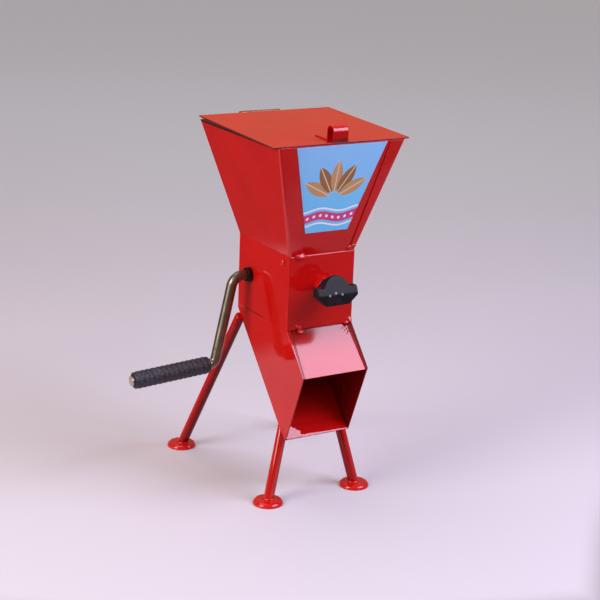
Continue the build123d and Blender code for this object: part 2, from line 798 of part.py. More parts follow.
with BuildPart() as hinge_pin:
    with BuildSketch(Plane.YZ.offset(hinge_left - END_FIT)):
        with Locations((hinge_y, hinge_z)):
            Circle(HINGE_PIN / 2)
    extrude(amount=HINGE_LENGTH + 2 * END_FIT)
save(hinge_pin, "hinge_pin")

# Label stuck to the hopper's front panel
front_lean = atan2(rim_d - half_d, HOPPER_HEIGHT)
label_plane = Plane(
    origin=(0, front_t - rim_d, rim_z),
    x_dir=(1, 0, 0),
    z_dir=(0, -cos(front_lean), -sin(front_lean)),
)
label_low = -LABEL_MARGIN - LABEL_HEIGHT


def flange_edge(slope_y, flange_low, flange_top):
    rise = 1 + slope_y * cos(front_lean) / HOPPER_HEIGHT
    half = half_w + rise * (rim_w - half_w)
    return half - flange_low - rise * (flange_top - flange_low)


def left_edge(slope_y):
    return -flange_edge(slope_y, LEFT_FLANGE_LOW, LEFT_FLANGE_TOP)


def right_edge(slope_y):
    return flange_edge(slope_y, RIGHT_FLANGE_LOW, RIGHT_FLANGE_TOP)


with BuildPart() as front_label:
    with BuildSketch(label_plane):
        with BuildLine():
            Polyline(
                (left_edge(-LABEL_MARGIN) + LABEL_LEFT_TOP_GAP, -LABEL_MARGIN),
                (right_edge(-LABEL_MARGIN) - LABEL_RIGHT_TOP_GAP, -LABEL_MARGIN),
                (right_edge(label_low) - LABEL_RIGHT_LOW_GAP, label_low),
                (left_edge(label_low) + LABEL_LEFT_LOW_GAP, label_low),
                close=True,
            )
        make_face()
    extrude(amount=LABEL_SHEET)
save(front_label, "front_label")
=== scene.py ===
import json
import math

import bmesh
import bpy
from mathutils import Matrix, Vector


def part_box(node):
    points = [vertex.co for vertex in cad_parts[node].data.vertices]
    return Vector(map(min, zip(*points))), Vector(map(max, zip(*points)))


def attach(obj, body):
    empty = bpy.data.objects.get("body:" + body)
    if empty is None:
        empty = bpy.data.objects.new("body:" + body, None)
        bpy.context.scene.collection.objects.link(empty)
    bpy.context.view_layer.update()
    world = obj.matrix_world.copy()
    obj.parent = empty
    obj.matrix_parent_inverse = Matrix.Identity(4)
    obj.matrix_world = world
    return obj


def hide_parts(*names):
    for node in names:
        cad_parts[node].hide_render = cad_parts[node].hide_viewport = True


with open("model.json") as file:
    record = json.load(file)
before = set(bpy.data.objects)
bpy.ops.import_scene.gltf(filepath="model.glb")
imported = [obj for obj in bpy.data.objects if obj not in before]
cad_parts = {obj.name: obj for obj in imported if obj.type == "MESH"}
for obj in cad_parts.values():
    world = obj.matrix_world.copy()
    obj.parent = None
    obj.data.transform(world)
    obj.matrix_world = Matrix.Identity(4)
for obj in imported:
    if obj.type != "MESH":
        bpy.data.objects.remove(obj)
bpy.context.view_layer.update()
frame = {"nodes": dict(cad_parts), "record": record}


# The case: hopper, body and chute are panels of 1.5 mm sheet steel, cut, folded along
# their front edges and welded at the corners, then painted inside and out with one
# thick coat of glossy red enamel that flows round every cut edge.
class Value:
    """A socket in a node tree. Sums written on it add Math nodes; node() adds any other."""

    def __init__(self, socket):
        self.socket = socket
        self.tree = socket.id_data

    def node(self, kind, settings, inputs, output=0):
        made = self.tree.nodes.new(kind)
        for name, setting in settings.items():
            setattr(made, name, setting)
        for key, given in inputs.items():
            if isinstance(given, Value):
                self.tree.links.new(given.socket, made.inputs[key])
            else:
                made.inputs[key].default_value = given
        return Value(made.outputs[output])

    def sum(self, operation, first, second):
        return self.node("ShaderNodeMath", {"operation": operation}, {0: first, 1: second})

    def __add__(self, other):
        return self.sum("ADD", self, other)

    def __radd__(self, other):
        return self.sum("ADD", other, self)

    def __sub__(self, other):
        return self.sum("SUBTRACT", self, other)

    def __rsub__(self, other):
        return self.sum("SUBTRACT", other, self)

    def __mul__(self, other):
        return self.sum("MULTIPLY", self, other)

    def __rmul__(self, other):
        return self.sum("MULTIPLY", other, self)

    def __truediv__(self, other):
        return self.sum("DIVIDE", self, other)

    def __rtruediv__(self, other):
        return self.sum("DIVIDE", other, self)

    def __pow__(self, other):
        return self.sum("POWER", self, other)

    def __mod__(self, other):
        return self.sum("FLOORED_MODULO", self, other)

    def __abs__(self):
        return self.sum("ABSOLUTE", self, 0.0)

    def least(self, other):
        return self.sum("MINIMUM", self, other)

    def most(self, other):
        return self.sum("MAXIMUM", self, other)

    def above(self, other):
        return self.sum("GREATER_THAN", self, other)

    def rise(self, low, high):
        """0 below low and 1 above high, or the other way round, with a soft step between."""
        settings = {"interpolation_type": "SMOOTHSTEP"}
        return self.node("ShaderNodeMapRange", settings, {0: self, 1: low, 2: high})

    def tint(self, first, second):
        """The first colour where this mask is 0 and the second where it is 1."""
        return self.node("ShaderNodeMix", {"data_type": "RGBA"}, {0: self, 6: first, 7: second}, 2)

    def axes(self):
        parts = self.node("ShaderNodeSeparateXYZ", {}, {0: self})
        return [Value(socket) for socket in parts.socket.node.outputs]

    def noise(self, scale, detail=2.0):
        """Even noise of that many lumps to the metre."""
        return self.node("ShaderNodeTexNoise", {}, {"Vector": self, "Scale": scale, "Detail": detail})

    def stretched(self, scale):
        """These coordinates scaled along each axis, for streaks and turning marks."""
        return self.node("ShaderNodeVectorMath", {"operation": "MULTIPLY"}, {0: self, 1: scale})

    def along(self, way):
        """How far these coordinates reach in a direction."""
        return self.node("ShaderNodeVectorMath", {"operation": "DOT_PRODUCT"}, {0: self, 1: way}, 1)

    def bump(self, distance):
        """This height as a normal, with the given depth in metres."""
        return self.node("ShaderNodeBump", {}, {"Strength": 1.0, "Distance": distance, "Height": self})


def new_finish(name, fixed):
    """A material with its unchanging sockets set, its shader, and its Object coordinates."""
    finish = bpy.data.materials.new(name)
    finish.use_nodes = True
    shader = finish.node_tree.nodes["Principled BSDF"]
    for socket, given in fixed.items():
        shader.inputs[socket].default_value = given
    here = Value(finish.node_tree.nodes.new("ShaderNodeTexCoord").outputs["Object"])
    return finish, shader, here


def feed(shader, varying):
    """Links what changes over the surface to the shader."""
    for socket, given in varying.items():
        shader.id_data.links.new(given.socket, shader.inputs[socket])


def settle(piece):
    """Turns a piece with modifiers into the plain mesh that they give."""
    seen = piece.evaluated_get(bpy.context.evaluated_depsgraph_get())
    plain = bpy.data.meshes.new_from_object(seen)
    piece.modifiers.clear()
    piece.data = plain
    plain.name = piece.name


def whole(node):
    """A CAD node's triangles merged into one skin with its flat faces in one piece."""
    skin = bmesh.new()
    skin.from_mesh(frame["nodes"][node].data)
    bmesh.ops.remove_doubles(skin, verts=skin.verts[:], dist=1e-6)
    bmesh.ops.dissolve_limit(skin, angle_limit=0.01, verts=skin.verts[:], edges=skin.edges[:])
    return skin


def place(name, skin, finish):
    """A new piece at the origin, with its place in its mesh."""
    mesh = bpy.data.meshes.new(name)
    skin.to_mesh(mesh)
    skin.free()
    piece = bpy.data.objects.new(name, mesh)
    piece.data.materials.append(finish)
    bpy.context.scene.collection.objects.link(piece)
    return piece


def folded(skin, radius, toward):
    """Rounds the long outer edges of a skin that face one way, as a press brake bends them."""
    bent = []
    for edge in skin.edges:
        if edge.is_convex and edge.calc_length() > 0.04:
            way = sum((face.normal for face in edge.link_faces), Vector()).normalized()
            if way.dot(Vector(toward).normalized()) > 0.88:
                bent.append(edge)
    bmesh.ops.bevel(skin, geom=bent, offset=radius, segments=5, profile=0.5, affect="EDGES")
    return skin


def eased(skin, name, radius, finish, flat=100):
    """A piece of that shape with its edges eased, its faces shaded flat or, at 50, round."""
    piece = place(name, skin, finish)
    piece.data.shade_smooth()
    ease = piece.modifiers.new("eased", "BEVEL")
    ease.width = radius
    ease.segments = 2
    ease.limit_method = "ANGLE"
    ease.angle_limit = 0.6
    level = piece.modifiers.new("level", "WEIGHTED_NORMAL")
    level.weight = flat
    settle(piece)
    narrow = [0.0] * len(piece.data.polygons)
    for face in piece.data.polygons:
        corners = [piece.data.vertices[i].co for i in face.vertices]
        longest = max((a - b).length for a, b in zip(corners, corners[1:] + corners[:1]))
        if face.area < 1.2 * radius * longest:
            narrow[face.index] = 1.0
    piece.data.attributes.new("edge", "FLOAT", "FACE").data.foreach_set("value", narrow)
    return piece


def fit(piece, body, slot, *nodes):
    """The piece moves with a body and stands for the nodes named, which it hides. The finish slot is not
    used.
    """
    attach(piece, body)
    if nodes:
        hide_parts(*nodes)


enamel, shader, here = new_finish("red_enamel", {"IOR": 1.5, "Specular IOR Level": 0.5})
on_edge = here.node("ShaderNodeAttribute", {"attribute_name": "edge"}, {}, 2)
underside_shade = here.node("ShaderNodeAttribute", {"attribute_name": "underside_shade"}, {}, 2)
flow = here.noise(14.0, 3.0)
film = flow.rise(0.35, 0.7).tint((0.525, 0.0050, 0.0045, 1), (0.475, 0.0042, 0.0039, 1))
film = (on_edge * 0.35).tint(film, (0.36, 0.0035, 0.0035, 1))
# Painted shade: the undersides of the leg bars are made darker.
film = (underside_shade * 0.8).tint(film, (0.075, 0.0015, 0.0020, 1))
chip = on_edge * here.noise(130.0, 3.0).rise(0.70, 0.74)
film = chip.tint(film, (0.21, 0.19, 0.18, 1))

x, y, z = here.axes()
body_low, body_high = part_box("body_right_panel")
inner_x, outer_x = body_low.x, body_high.x
seam_z, throat_z = body_low.z, body_high.z

# The open joint between body and chute, on the rear half of each side.
seam = abs(z - seam_z).rise(0.0007, 0.0004) * abs(x).above(outer_x - 0.0010)
seam = seam * y.rise(-0.012, 0.006) * y.rise(0.046, 0.036)
film = seam.tint(film, (0.035, 0.002, 0.002, 1))

# Painted shade in the chute, darker towards its top and along its walls.
skin_depth = 0.0011
over_bed = (here.along((0, -0.729, 0.685)) - 0.0958).above(skin_depth)
under_roof = here.along((0, 0.743, -0.669)) + 0.1805
chute = over_bed * under_roof.above(skin_depth) * (inner_x + 0.0003 - abs(x)).above(0.0)
chute = chute * (seam_z - 0.0005 - z).above(0.0)
climb = here.along((0, 0.93, 0.366)) + 0.0305
chute_shade = chute * climb.rise(0.012, 0.080).most(abs(x).above(inner_x - 0.0005) * 0.85)
film = (chute_shade * 0.85).tint(film, (0.045, 0.0012, 0.0012, 1))

# Painted shade inside the hopper, and a painted shadow on its sides in a strip close under the lid.
hopper_low, hopper_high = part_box("hopper_right_panel")
under_lid = (hopper_high.z - 0.0001 - z).above(0.0)
rim_z = hopper_high.z - 0.0030
rim = (z - rim_z).rise(0.0, 0.0005) * under_lid * abs(x).above(hopper_high.x - 0.0030)
rim = rim * y.rise(hopper_low.y + 0.0020, hopper_low.y + 0.0160)
wall = 0.0008
flare_x = (hopper_high.x - outer_x) / (hopper_high.z - throat_z)
flare_y = (hopper_high.y - body_high.y) / (hopper_high.z - throat_z)
half_x = outer_x - wall + (z - throat_z) * flare_x
half_y = body_high.y - wall + (z - throat_z) * flare_y
hollow = (half_x - abs(x)).above(0.0) * (half_y - y).above(0.0) * (half_y + y).above(0.0018)
hollow = hollow * z.above(throat_z + 0.0010)
shade = rim.most(hollow * under_lid * 0.8)
film = (shade * 0.97).tint(film, (0.012, 0.0008, 0.0008, 1))

# Painted shade on the lid's cut edges.
lid_low, lid_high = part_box("lid_panel")
lid_sides = abs(x).above(lid_high.x - 0.0005)
lid_front = (lid_low.y + 0.0005 - y).above(0.0)
lid_edge_shade = lid_sides.most(lid_front) * z.above(lid_low.z)
lid_edge_shade = lid_edge_shade * (1.0 - z.above(lid_high.z + 0.0001) * 0.7)
film = (lid_edge_shade * 0.8).tint(film, (0.075, 0.0020, 0.0030, 1))

# The lip of the mouth, which sags on its left: a patch there has its normals tipped down so that it catches
# a highlight.
lip = over_bed * (0.0900 - z).rise(0.0, 0.0015)
highlight_patch = (here.noise(90.0, 3.0) * 0.022 - x * 1.3 - z * 1.1 + 0.0543).rise(0.0, 0.006)
droop = {0: (0.0, -0.179, -0.182), "Scale": lip * highlight_patch}
sag = here.node("ShaderNodeVectorMath", {"operation": "SCALE"}, droop)

# The chute's front flanges, narrower towards the mouth, each with a pressed crease, painted darker as
# shade.
flange = (0.0006 - abs(under_roof)).above(0.0) * abs(x).above(inner_x - 0.0050)
flange = flange * (seam_z - z).above(0.0) * z.above(0.158)
width = 0.0025 + (z - 0.1625) * 0.0824
inward = (outer_x - abs(x)) / width
groove = (0.12 - abs(inward - 0.48)).most(0.0) + (inward - 0.74).most(0.0)
groove = x.above(0.0) * inward + (1.0 - x.above(0.0)) * groove
# Painted shade along each flange's crease.
film = (flange * groove.rise(0.0, 0.05) * 0.85).tint(film, (0.10, 0.002, 0.002, 1))

peel = here.noise(330.0, 1.0)
sway = here.noise(21.0, 1.0)
height = peel * 0.10 + sway * 3.2 - chip * 0.6 - flange * groove * width * 3600.0
surface = height.bump(0.0001)
surface = surface.node("ShaderNodeVectorMath", {"operation": "ADD"}, {0: surface, 1: sag})
surface = surface.node("ShaderNodeVectorMath", {"operation": "NORMALIZE"}, {0: surface})
smear = here.stretched((30.0, 30.0, 9.0)).noise(1.0, 3.0).rise(0.5, 0.75)
wear_and_shade = chip * 0.4 + chute_shade * 0.25 + shade * 0.4 + lid_edge_shade * 0.3
feed(
    shader,
    {
        "Base Color": film,
        "Roughness": 0.05 + smear * 0.05 + wear_and_shade,
        "Normal": surface,
    },
)

cut_edge = 0.0003
for corner, side in (("left", -1), ("right", 1)):
    for part, bend in (("hopper", 0.0032), ("chute", 0.0010), ("body", 0.0013)):
        node = part + "_" + corner + "_panel"
        skin = whole(node)
        sheet = eased(folded(skin, bend, (side, -1, -0.3)), node + "_sheet", cut_edge, enamel)
        fit(sheet, "housing", "red_enamel", node)

skin = folded(whole("body_front_panel"), 0.0012, (0, -1, 1))
fit(eased(skin, "body_front_sheet", cut_edge, enamel), "housing", "red_enamel", "body_front_panel")

skin = whole("chute_floor_plate")
lip_top, lip_end = Vector((0, -0.0485, 0.0882)), Vector((0, -0.0630, 0.0768))
lip_slices, lip_bulge, lip_way = 10, 0.0006, Vector((0, -0.616, 0.788))
run = lip_end - lip_top
for step in range(1, lip_slices):
    everything = skin.verts[:] + skin.edges[:] + skin.faces[:]
    spot = lip_top + run * (step / lip_slices)
    bmesh.ops.bisect_plane(skin, geom=everything, plane_co=spot, plane_no=run)
for vert in skin.verts:
    part = (vert.co - lip_top).dot(run) / run.length_squared
    if 0.0 < part < 1.0 and vert.co.z < 0.1:
        vert.co += lip_way * lip_bulge * (1 - (2 * part - 1) ** 2)
fit(eased(skin, "chute_floor_sheet", cut_edge, enamel), "housing", "red_enamel", "chute_floor_plate")

for node in ("hopper_front_panel", "hopper_rear_panel", "body_rear_panel", "chute_top_plate"):
    fit(eased(whole(node), node + "_sheet", cut_edge, enamel), "housing", "red_enamel", node)


# The welds: short tacks and lumpy fillet beads of weld metal that hold the panels, the
# leg bars and the feet together, left as they were laid and painted over with the case.
def new_tree(name, sizes):
    """A Geometry Nodes tree with a mesh input, named size inputs and a mesh output."""
    tree = bpy.data.node_groups.new(name, "GeometryNodeTree")
    tree.interface.new_socket("Mesh", in_out="INPUT", socket_type="NodeSocketGeometry")
    tree.interface.new_socket("Mesh", in_out="OUTPUT", socket_type="NodeSocketGeometry")
    for label, size in sizes.items():
        kind = "NodeSocketInt" if isinstance(size, int) else "NodeSocketFloat"
        tree.interface.new_socket(label, in_out="INPUT", socket_type=kind)
    start = tree.nodes.new("NodeGroupInput")
    return tree, {socket.name: Value(socket) for socket in start.outputs if socket.name}


def close_tree(shape, finish):
    """Ends a tree: instances made real, shaded smooth and given their finish."""
    shape = shape.node("GeometryNodeRealizeInstances", {}, {0: shape})
    shape = shape.node("GeometryNodeSetShadeSmooth", {}, {"Geometry": shape})
    shape = shape.node("GeometryNodeSetMaterial", {}, {"Geometry": shape, "Material": finish})
    end = shape.tree.nodes.new("NodeGroupOutput")
    shape.tree.links.new(shape.socket, end.inputs[0])


def grow(name, tree, sizes, mesh):
    """The plain mesh that a tree makes from a mesh and its sizes."""
    piece = bpy.data.objects.new(name, mesh)
    bpy.context.scene.collection.objects.link(piece)
    nodes = piece.modifiers.new(name, "NODES")
    nodes.node_group = tree
    for item in tree.interface.items_tree:
        if item.in_out == "INPUT" and item.name in sizes:
            nodes[item.identifier] = sizes[item.name]
    settle(piece)
    return piece


def lumpy(shape, per_metre, depth):
    """The shape with its surface pushed in and out, as weld metal sets."""
    spot = shape.node("GeometryNodeInputPosition", {}, {})
    outward = shape.node("GeometryNodeInputNormal", {}, {})
    lump = (spot.noise(per_metre, 2.0) - 0.5) * depth
    push = shape.node("ShaderNodeVectorMath", {"operation": "SCALE"}, {0: outward, "Scale": lump})
    return shape.node("GeometryNodeSetPosition", {}, {"Geometry": shape, "Offset": push})


def own_vector(shape, name):
    """A vector that each point of the shape carries under that name."""
    return shape.node("GeometryNodeInputNamedAttribute", {"data_type": "FLOAT_VECTOR"}, {"Name": name})


tack_sizes = {"Lump": 0.0006, "Lumps per metre": 260.0}
tree, given = new_tree("tack_welds", tack_sizes)
shape = given["Mesh"]
ball = shape.node("GeometryNodeMeshIcoSphere", {}, {"Radius": 1.0, "Subdivisions": 4})
inputs = {"Points": shape, "Instance": ball}
inputs.update({"Rotation": own_vector(shape, "lean"), "Scale": own_vector(shape, "spread")})
shape = shape.node("GeometryNodeInstanceOnPoints", {}, inputs)
shape = shape.node("GeometryNodeRealizeInstances", {}, {0: shape})
close_tree(lumpy(shape, given["Lumps per metre"], given["Lump"]), enamel)

tacks = [
    ((-0.0286, -0.0580, 0.2916), (0.0064, 0.0017, 0.0042), -0.65),
    ((0.0344, -0.0578, 0.2955), (0.0032, 0.0017, 0.0022), -0.5),
    ((0.0402, -0.0586, 0.2968), (0.0026, 0.0015, 0.0020), -0.5),
    ((-0.0272, -0.0584, 0.2098), (0.0037, 0.0013, 0.0036), -0.60),
    ((-0.0262, -0.0602, 0.2044), (0.0040, 0.0014, 0.0030), -0.60),
    ((0.0393, -0.0580, 0.2104), (0.0026, 0.0011, 0.0048), -0.60),
    ((0.0352, -0.0583, 0.2066), (0.0034, 0.0015, 0.0024), -0.65),
    ((-0.0428, -0.0440, 0.2822), (0.0029, 0.0046, 0.0040), 0.0),
    ((-0.0396, -0.0600, 0.0830), (0.0022, 0.0016, 0.0014), 0.0),
    ((-0.0424, 0.0480, 0.2060), (0.0008, 0.0080, 0.0015), 0.0),
    ((0.0424, -0.0280, 0.2060), (0.0010, 0.0046, 0.0018), 0.0),
    ((0.0424, 0.0400, 0.2060), (0.0010, 0.0050, 0.0018), 0.0),
    ((-0.0260, 0.0577, 0.2912), (0.0050, 0.0015, 0.0025), 0.0),
    ((0.0270, 0.0577, 0.2912), (0.0050, 0.0015, 0.0025), 0.0),
]
plate_top = Vector((0, -0.0564, 0.2050))
plate_fall = Vector((0, -0.669, -0.743))
for over, down, size in (
    (0.0325, 0.0040, 0.0013),
    (0.0340, 0.0068, 0.0010),
    (0.0312, 0.0082, 0.0009),
    (0.0348, 0.0100, 0.0012),
    (0.0331, 0.0126, 0.0010),
    (0.0285, 0.0052, 0.0008),
):
    spatter = plate_top + plate_fall * down + Vector((over, 0, 0))
    tacks.append((tuple(spatter), (size, size, size), 0.0))
mesh = bpy.data.meshes.new("tack_points")
mesh.from_pydata([spot for spot, size, tip in tacks], [], [])
sizes = [number for spot, size, tip in tacks for number in size]
mesh.attributes.new("spread", "FLOAT_VECTOR", "POINT").data.foreach_set("vector", sizes)
tips = [number for spot, size, tip in tacks for number in (tip, 0.0, 0.0)]
mesh.attributes.new("lean", "FLOAT_VECTOR", "POINT").data.foreach_set("vector", tips)
fit(grow("tack_welds", tree, tack_sizes, mesh), "housing", "red_enamel")

bead_sizes = {"Bead radius": 0.0013, "Step": 0.0008, "Ripple": 0.0006, "Ripples per metre": 420.0}
tree, given = new_tree("weld_beads", bead_sizes)
path = given["Mesh"].node("GeometryNodeMeshToCurve", {}, {0: given["Mesh"]})
inputs = {"Curve": path, "Length": given["Step"]}
path = path.node("GeometryNodeResampleCurve", {"mode": "LENGTH"}, inputs)
inputs = {"Resolution": 10, "Radius": given["Bead radius"]}
ring = path.node("GeometryNodeCurvePrimitiveCircle", {}, inputs)
inputs = {"Curve": path, "Profile Curve": ring, "Fill Caps": True}
shape = path.node("GeometryNodeCurveToMesh", {}, inputs)
close_tree(lumpy(shape, given["Ripples per metre"], given["Ripple"]), enamel)


def bar_ends(node):
    """The middle of a leg bar's top end and of its bottom end."""
    spots = sorted((v.co.copy() for v in frame["nodes"][node].data.vertices), key=lambda p: p.z)
    low = [p for p in spots if p.z < spots[0].z + 0.002]
    high = [p for p in spots if p.z > spots[-1].z - 0.002]
    return sum(high, Vector()) / len(high), sum(low, Vector()) / len(low)


feet = ("front_left", "front_right", "rear_left", "rear_right")
foot_top = max(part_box(corner + "_foot")[1].z for corner in feet)
bead_ring, bead_steps = 0.0062, 28
points = []
edges = []
for corner in feet:
    top, low = bar_ends(corner + "_leg")
    middle = low + (top - low) * ((foot_top - low.z) / (top.z - low.z))
    first = len(points)
    for step in range(bead_steps):
        turn = step * math.tau / bead_steps
        points.append(middle + Vector((math.cos(turn), math.sin(turn), 0)) * bead_ring)
        edges.append((first + step, first + (step + 1) % bead_steps))
mesh = bpy.data.meshes.new("bead_paths")
mesh.from_pydata(points, edges, [])
fit(grow("foot_welds", tree, bead_sizes, mesh), "housing", "red_enamel")


# The legs and feet: four 12 mm round bars splayed outwards, welded under the chute and
# behind the body, each on a turned steel disc with a soft rim, all painted red. The underside
# of every bar is painted darker as shade; dust dulls all but the front left one.
dusty = enamel.copy()
dusty.name = "dusty_enamel"
dusty.node_tree.nodes["Principled BSDF"].inputs["Specular IOR Level"].default_value = 0.2
for corner, rounding, coat in (
    ("front_left", 0.0013, enamel),
    ("front_right", 0.0013, dusty),
    ("rear_left", 0.0030, dusty),
    ("rear_right", 0.0030, dusty),
):
    node = corner + "_leg"
    bar = eased(whole(node), node + "_bar", rounding, coat, 50)
    # How far each point of the bar faces down, for the painted shade on its underside.
    dust_and_shade = [min(max(0.35 - 1.6 * vert.normal.z, 0.0), 1.0) for vert in bar.data.vertices]
    bar.data.attributes.new("underside_shade", "FLOAT", "POINT").data.foreach_set("value", dust_and_shade)
    fit(bar, "housing", "red_enamel", node)

foot_low, foot_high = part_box("front_left_foot")
foot_sizes = {
    "Radius": (foot_high.x - foot_low.x) / 2,
    "Height": foot_high.z - foot_low.z,
    "Rim": 0.0040,
    "Crown": 0.0010,
    "Sides": 72,
}
tree, given = new_tree("foot_discs", foot_sizes)
inputs = {"Vertices": given["Sides"], "Side Segments": 4, "Fill Segments": 22}
inputs.update({"Radius": given["Radius"], "Depth": given["Height"]})
disc = given["Mesh"].node("GeometryNodeMeshCylinder", {}, inputs)
x, y, z = disc.node("GeometryNodeInputPosition", {}, {}).axes()
reach = (x * x + y * y) ** 0.5
part = (reach / given["Radius"]).least(1.0)
wide = part * (2.0 - part)
past = (wide * given["Radius"] - given["Radius"] + given["Rim"]).most(0.0)
drop = given["Rim"] - (given["Rim"] * given["Rim"] - past * past).most(0.0) ** 0.5
upper = given["Height"] - drop - given["Crown"] * wide * wide
level = z.rise(-0.5 * given["Height"], 0.5 * given["Height"])
spread = wide / part.most(0.0001)
inputs = {0: x * spread, 1: y * spread, 2: level * upper}
spot = disc.node("ShaderNodeCombineXYZ", {}, inputs)
disc = disc.node("GeometryNodeSetPosition", {}, {"Geometry": disc, "Position": spot})
inputs = {"Points": given["Mesh"], "Instance": disc}
close_tree(disc.node("GeometryNodeInstanceOnPoints", {}, inputs), enamel)
points = []
for corner in feet:
    low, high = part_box(corner + "_foot")
    points.append(((low.x + high.x) / 2, (low.y + high.y) / 2, low.z))
mesh = bpy.data.meshes.new("foot_points")
mesh.from_pydata(points, [], [])
discs = grow("foot_discs", tree, foot_sizes, mesh)
fit(discs, "housing", "red_enamel", *[corner + "_foot" for corner in feet])


# The jaw's pivot pin: a short steel pin pressed through both side panels, its ends
# rounded over and painted with the case.
pin = eased(whole("jaw_pivot_pin"), "jaw_pivot_pin_painted", 0.0018, enamel, 50)
fit(pin, "housing", "red_enamel", "jaw_pivot_pin")


# The shaft bushes: short turned steel tubes pressed through the side panels after
# painting, so they are bare metal, made near black where they stand out of the side
# panels. The drum, the jaw, the screw and the hinge have the same bare steel.
bare_steel, shader, here = new_finish("bare_steel", {"Metallic": 1.0})
rings = here.stretched((2600.0, 90.0, 90.0)).noise(1.0, 2.0)
stain = here.noise(70.0, 4.0).rise(0.42, 0.68)
tone = stain.tint((0.115, 0.082, 0.066, 1), (0.052, 0.034, 0.026, 1))
x, y, z = here.axes()
# The bushes are made near black where they stand out of the side panels.
dark_at_side_panels = abs(x).above(outer_x - 0.0005)
tone = (dark_at_side_panels * 0.75).tint(tone, (0.020, 0.008, 0.007, 1))
at_hinge = z.above(0.40)
tone = (at_hinge * 0.85).tint(tone, (0.42, 0.21, 0.12, 1))
feed(
    shader,
    {
        "Base Color": tone,
        "Roughness": 0.34 + rings * 0.12 + stain * 0.22,
        "Normal": rings.bump(0.00006),
    },
)
for node in ("left_bush", "right_bush"):
    fit(eased(whole(node), node + "_turned", 0.0008, bare_steel, 50), "housing", "bare_steel", node)


# The cracking drum, its cross pin and the two thrust washers: bare machine steel with
# dark stains, the drum milled with grip flutes.
for node in ("cracking_drum", "drum_pin", "thrust_washers"):
    fit(eased(whole(node), node + "_steel", cut_edge, bare_steel), "crank", "bare_steel", node)


# The jaw: a bare steel plate with biting ribs welded to a sleeve that rocks on the pivot
# pin, and the hard steel ball that the screw presses against its back.
for node, body in (("jaw_sleeve", "jaw"), ("jaw_plate", "jaw"), ("thrust_ball", "thrust_ball")):
    fit(eased(whole(node), node + "_steel", cut_edge, bare_steel), body, "bare_steel", node)


# The crank: one 12 mm steel bar bent twice, zinc plated and passivated to a pale olive
# gold, dulled in streaks where it was drawn, with bright bare cut ends.
zinc, shader, here = new_finish("zinc_plate", {"Metallic": 1.0})
cloud = here.noise(60.0, 4.0)
drawn = here.stretched((260.0, 260.0, 40.0)).noise(1.0, 3.0)
tone = cloud.rise(0.35, 0.7).tint((0.235, 0.202, 0.155, 1), (0.160, 0.134, 0.102, 1))
tone = drawn.rise(0.58, 0.78).tint(tone, (0.095, 0.080, 0.058, 1))
joints = {joint["name"]: joint for joint in frame["record"]["behaviour"]["joints"]}
spin_axis = Vector(joints["grip_spin"]["axis"])
grip_end = max(spin_axis.dot(v.co) for v in frame["nodes"]["crank_rod"].data.vertices)
drive_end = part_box("crank_rod")[1].x
x, y, z = here.axes()
cut = here.along(spin_axis).above(grip_end - cut_edge).most(x.above(drive_end - cut_edge))
tone = cut.tint(tone, (0.66, 0.61, 0.50, 1))
feed(
    shader,
    {
        "Base Color": tone,
        "Roughness": 0.24 + cloud * 0.12 + drawn * 0.1,
        "Normal": (drawn * 0.5 + here.noise(520.0, 2.0) * 0.3).bump(0.00012),
    },
)
fit(eased(whole("crank_rod"), "crank_bar", 0.0005, zinc, 50), "crank", "zinc_steel", "crank_rod")


# The grip: a moulded black rubber sleeve that slips over the end of the bar and turns on
# it, with rows of raised ribs, each notched round so that it gives under the fingers.
rubber, shader, here = new_finish("black_rubber", {"IOR": 1.5})
grain = here.noise(900.0, 2.0)
dust_and_shade = here.noise(110.0, 4.0).rise(0.45, 0.75)
tone = dust_and_shade.tint((0.013, 0.011, 0.020, 1), (0.030, 0.025, 0.042, 1))
feed(
    shader,
    {
        "Base Color": tone,
        "Roughness": 0.40 + grain * 0.12 + dust_and_shade * 0.12,
        "Normal": grain.bump(0.00012),
    },
)
spots = [spin_axis.dot(v.co) for v in frame["nodes"]["crank_grip"].data.vertices]
grip_start = Vector(joints["grip_spin"]["pos_m"])
grip_start += spin_axis * (min(spots) - spin_axis.dot(grip_start))
grip_sizes = {
    "Length": max(spots) - min(spots),
    "Radius": 0.0100,
    "Bore": 0.0061,
    "Rib depth": 0.0011,
    "Collar": 0.0034,
    "Shoulder": 0.0018,
    "Ribs": 14,
    "Notches": 18,
    "Rings": 520,
    "Sides": 91,
}
tree, given = new_tree("ribbed_grip", grip_sizes)
length = given["Length"]
inputs = {"Size X": length * 2.0, "Size Y": math.tau}
inputs.update({"Vertices X": given["Rings"], "Vertices Y": given["Sides"]})
sleeve = length.node("GeometryNodeMeshGrid", {}, inputs)
x, y, z = sleeve.node("GeometryNodeInputPosition", {}, {}).axes()
inside = x.above(0.0)
along = length - abs(x)
step = (length - given["Collar"] * 2.0) / given["Ribs"]
row = ((along - given["Collar"]) / step).most(0.0).least(given["Ribs"])
rib = 1.0 - abs((row % 1.0) * 2.0 - 1.0) ** 3.0
odd = (row % 2.0).above(1.0) * math.pi
wave = sleeve.sum("COSINE", y * given["Notches"] + odd, 0.0)
notch = 1.0 - 0.45 * wave.rise(0.55, 0.95)
ribbed = (row.above(0.001)) * (1.0 - row.above(given["Ribs"] - 0.001))
outer = given["Radius"] - given["Rib depth"] + given["Rib depth"] * rib * notch * ribbed
outer = outer + (1.0 - ribbed) * 0.5 * given["Rib depth"]
near = (along.least(length - along) / given["Shoulder"]).least(1.0)
shoulder = (1.0 - (1.0 - near) ** 2.0).most(0.0) ** 0.5
outer = given["Bore"] + (outer - given["Bore"]) * shoulder
reach = inside * given["Bore"] + (1.0 - inside) * outer
turn_x = sleeve.sum("COSINE", y, 0.0) * reach
turn_y = sleeve.sum("SINE", y, 0.0) * reach
spot = sleeve.node("ShaderNodeCombineXYZ", {}, {0: turn_x, 1: turn_y, 2: along})
